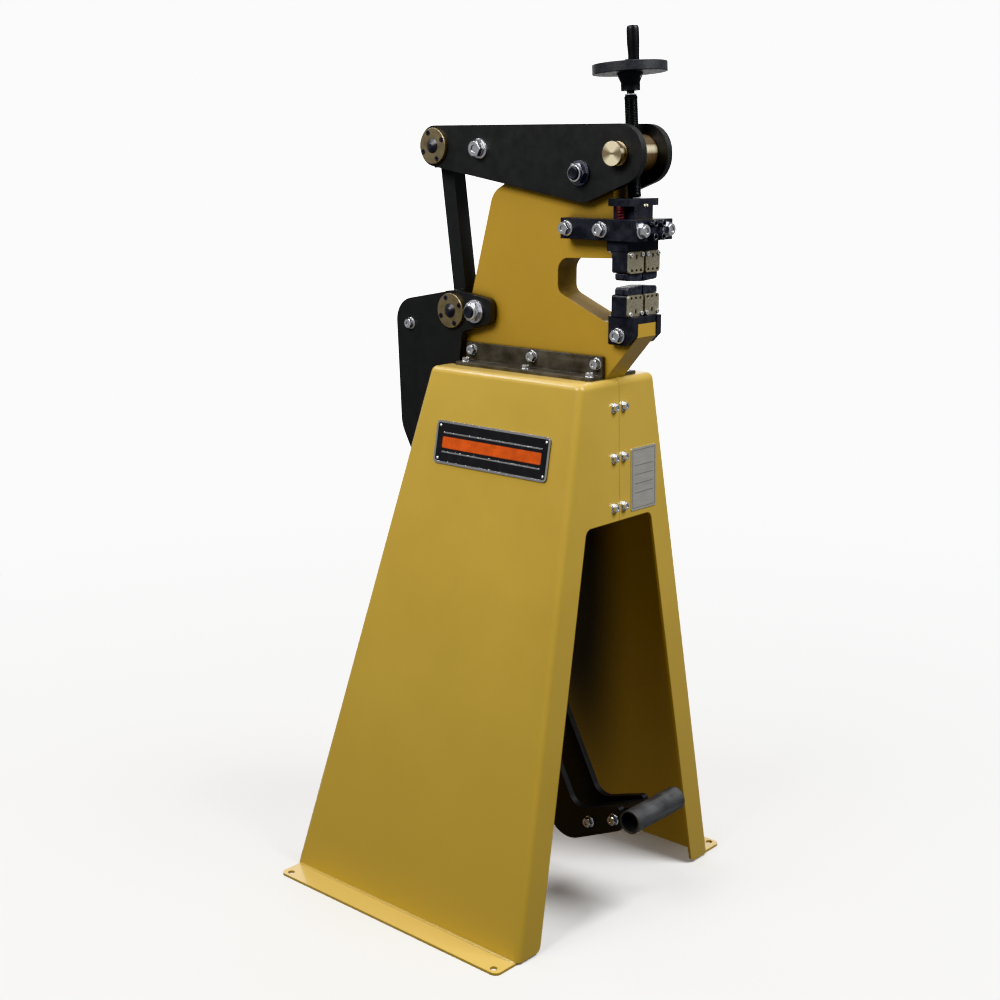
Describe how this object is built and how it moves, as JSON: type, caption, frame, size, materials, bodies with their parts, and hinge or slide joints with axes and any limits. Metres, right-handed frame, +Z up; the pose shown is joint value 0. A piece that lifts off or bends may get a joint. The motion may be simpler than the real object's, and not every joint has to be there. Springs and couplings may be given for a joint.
{
  "type": "shrinker stretcher",
  "caption": "Foot-operated metal forming press on a tapered sheet stand, with a C-shaped frame, lever, link, treadle, adjusting screw and sliding gripping jaws.",
  "frame": {"origin": "on the floor, midway between the four anchor holes of the feet", "axes": "+X towards the operator, from the link to the dies; -Y towards the side with the sign plate; +Z up"},
  "size_m": [0.6557, 0.658, 1.5298],
  "materials": {
    "stand_half_near": "gloss mustard yellow paint",
    "stand_half_far": "gloss mustard yellow paint",
    "seam_strap": "bare hot-rolled steel with mill scale",
    "stand_bolts": "bright zinc plate",
    "stand_nuts": "bright zinc plate",
    "c_frame": "gloss golden yellow paint",
    "frame_brackets": "bare hot-rolled steel with mill scale",
    "bracket_bolts": "bright zinc plate",
    "bracket_nuts": "bright zinc plate",
    "pivot_bushes": "machined bronze",
    "slide_bar_near": "dark oxide on machined steel",
    "slide_bar_far": "dark oxide on machined steel",
    "slide_front_plate": "dark oxide on machined steel",
    "head_bolts": "bright zinc plate",
    "gib_plate": "bare machined steel",
    "gib_screws": "dark oxide on machined steel",
    "return_springs": "dark red die-spring paint",
    "lower_die_block": "dark oxide on machined steel",
    "lower_cover_plates": "speckled grey-gold plated steel",
    "lower_cover_screws": "bright zinc plate",
    "lower_cheeks": "dark oxide on machined steel",
    "sign_plate": "dark enamel with two orange stripes, no lettering",
    "data_plate": "bare brushed aluminium, no lettering",
    "treadle_plate_near": "satin black coating",
    "treadle_plate_far": "satin black coating",
    "treadle_pivot_bolt": "bright zinc plate",
    "treadle_pivot_nut": "bright zinc plate",
    "lower_bearings": "machined bronze",
    "lower_bearing_screws": "dark oxide on machined steel",
    "lower_link_pin": "dark oxide on machined steel",
    "treadle_spacer": "bare machined steel",
    "treadle_bolts": "bright zinc plate",
    "treadle_nuts": "bright zinc plate",
    "pedal_bar": "bare hot-rolled steel with mill scale",
    "pedal_tube": "bare hot-rolled steel with mill scale",
    "lever_plate_near": "satin black coating",
    "lever_plate_far": "satin black coating",
    "lever_pivot_bolt": "bright zinc plate",
    "lever_pivot_nut": "bright zinc plate",
    "lever_spacer": "bare machined steel",
    "lever_spacer_bolt": "bright zinc plate",
    "upper_bearings": "machined bronze",
    "upper_bearing_screws": "dark oxide on machined steel",
    "upper_link_pin": "dark oxide on machined steel",
    "link_bar": "satin black coating",
    "trunnion": "turned brass",
    "thrust_washer": "bare machined steel",
    "spindle": "dark oxide on machined steel",
    "handwheel": "black thermoset",
    "handle_bolt": "bright zinc plate",
    "handle": "black thermoset",
    "ram": "dark oxide on machined steel",
    "ram_head_plate": "dark oxide on machined steel",
    "upper_die_block": "dark oxide on machined steel",
    "upper_cover_plates": "speckled grey-gold plated steel",
    "upper_cover_screws": "bright zinc plate",
    "upper_jaw_near": "dark oxide on machined steel",
    "upper_jaw_far": "dark oxide on machined steel",
    "lower_jaw_near": "dark oxide on machined steel",
    "lower_jaw_far": "dark oxide on machined steel"
  },
  "bodies": {
    "stand": {"stand_half_near": "stand_half_near", "stand_half_far": "stand_half_far", "seam_strap": "seam_strap", "stand_bolts": "stand_bolts", "stand_nuts": "stand_nuts", "c_frame": "c_frame", "frame_brackets": "frame_brackets", "bracket_bolts": "bracket_bolts", "bracket_nuts": "bracket_nuts", "pivot_bushes": "pivot_bushes", "slide_bar_near": "slide_bar_near", "slide_bar_far": "slide_bar_far", "slide_front_plate": "slide_front_plate", "head_bolts": "head_bolts", "gib_plate": "gib_plate", "gib_screws": "gib_screws", "return_springs": "return_springs", "lower_die_block": "lower_die_block", "lower_cover_plates": "lower_cover_plates", "lower_cover_screws": "lower_cover_screws", "lower_cheeks": "lower_cheeks", "sign_plate": "sign_plate", "data_plate": "data_plate"},
    "treadle": {"treadle_plate_near": "treadle_plate_near", "treadle_plate_far": "treadle_plate_far", "treadle_pivot_bolt": "treadle_pivot_bolt", "treadle_pivot_nut": "treadle_pivot_nut", "lower_bearings": "lower_bearings", "lower_bearing_screws": "lower_bearing_screws", "lower_link_pin": "lower_link_pin", "treadle_spacer": "treadle_spacer", "treadle_bolts": "treadle_bolts", "treadle_nuts": "treadle_nuts", "pedal_bar": "pedal_bar", "pedal_tube": "pedal_tube"},
    "lever": {"lever_plate_near": "lever_plate_near", "lever_plate_far": "lever_plate_far", "lever_pivot_bolt": "lever_pivot_bolt", "lever_pivot_nut": "lever_pivot_nut", "lever_spacer": "lever_spacer", "lever_spacer_bolt": "lever_spacer_bolt", "upper_bearings": "upper_bearings", "upper_bearing_screws": "upper_bearing_screws", "upper_link_pin": "upper_link_pin"},
    "link": {"link_bar": "link_bar"},
    "trunnion": {"trunnion": "trunnion"},
    "screw_washer": {"thrust_washer": "thrust_washer"},
    "screw": {"spindle": "spindle", "handwheel": "handwheel", "handle_bolt": "handle_bolt"},
    "grip": {"handle": "handle"},
    "ram": {"ram": "ram", "ram_head_plate": "ram_head_plate", "upper_die_block": "upper_die_block", "upper_cover_plates": "upper_cover_plates", "upper_cover_screws": "upper_cover_screws"},
    "upper_jaw_near": {"upper_jaw_near": "upper_jaw_near"},
    "upper_jaw_far": {"upper_jaw_far": "upper_jaw_far"},
    "lower_jaw_near": {"lower_jaw_near": "lower_jaw_near"},
    "lower_jaw_far": {"lower_jaw_far": "lower_jaw_far"}
  },
  "joints": [
    {"name": "treadle_hinge", "type": "hinge", "parent": "stand", "child": "treadle", "pos_m": [-0.031, 0, 1.06], "axis": [0, 1, 0], "range_deg": [0, 23], "stiffness_Nm_per_rad": 14.4, "springref_deg": -8.59},
    {"name": "link_hinge", "type": "hinge", "parent": "treadle", "child": "link", "pos_m": [-0.087, 0, 1.058], "axis": [0, 1, 0], "range_deg": [-23.5, 0.5]},
    {"name": "lever_hinge", "type": "hinge", "parent": "stand", "child": "lever", "pos_m": [0.205, 0, 1.3025], "axis": [0, 1, 0], "range_deg": [-0.1, 4]},
    {"name": "trunnion_hinge", "type": "hinge", "parent": "lever", "child": "trunnion", "pos_m": [0.282, 0, 1.334], "axis": [0, 1, 0], "range_deg": [-2.4, 0.1]},
    {"name": "screw_travel", "type": "slide", "parent": "trunnion", "child": "screw_washer", "axis": [-0.0698, 0, 0.9976], "range_m": [0, 0.0051]},
    {"name": "handwheel_turn", "type": "hinge", "parent": "screw_washer", "child": "screw", "pos_m": [0.282, 0, 1.334], "axis": [-0.0698, 0, 0.9976], "range_deg": [0, 720]},
    {"name": "handle_spin", "type": "hinge", "parent": "screw", "child": "grip", "pos_m": [0.30673, -0.03465, 1.47707], "axis": [-0.0698, 0, 0.9976], "continuous": true},
    {"name": "ram_slide", "type": "slide", "parent": "stand", "child": "ram", "axis": [0, 0, -1], "range_m": [0, 0.0054], "deforming": ["return_springs"]},
    {"name": "upper_jaw_near_slide", "type": "slide", "parent": "ram", "child": "upper_jaw_near", "axis": [0, 1, 0], "range_m": [0, 0.0012]},
    {"name": "upper_jaw_far_slide", "type": "slide", "parent": "ram", "child": "upper_jaw_far", "axis": [0, -1, 0], "range_m": [0, 0.0012]},
    {"name": "lower_jaw_near_slide", "type": "slide", "parent": "stand", "child": "lower_jaw_near", "axis": [0, 1, 0], "range_m": [0, 0.0012]},
    {"name": "lower_jaw_far_slide", "type": "slide", "parent": "stand", "child": "lower_jaw_far", "axis": [0, -1, 0], "range_m": [0, 0.0012]}
  ],
  "couplings": [
    {"joint": "lever_hinge", "follows": "treadle_hinge", "ratio": 0.16822},
    {"joint": "link_hinge", "follows": "treadle_hinge", "ratio": -0.99466},
    {"joint": "trunnion_hinge", "follows": "treadle_hinge", "ratio": -0.09},
    {"joint": "ram_slide", "follows": "treadle_hinge", "m_per_rad": 0.013385},
    {"joint": "upper_jaw_near_slide", "follows": "treadle_hinge", "m_per_rad": 0.00295},
    {"joint": "upper_jaw_far_slide", "follows": "treadle_hinge", "m_per_rad": 0.00295},
    {"joint": "lower_jaw_near_slide", "follows": "treadle_hinge", "m_per_rad": 0.00295},
    {"joint": "lower_jaw_far_slide", "follows": "treadle_hinge", "m_per_rad": 0.00295},
    {"joint": "screw_travel", "follows": "handwheel_turn", "m_per_rad": 0.00039789}
  ]
}
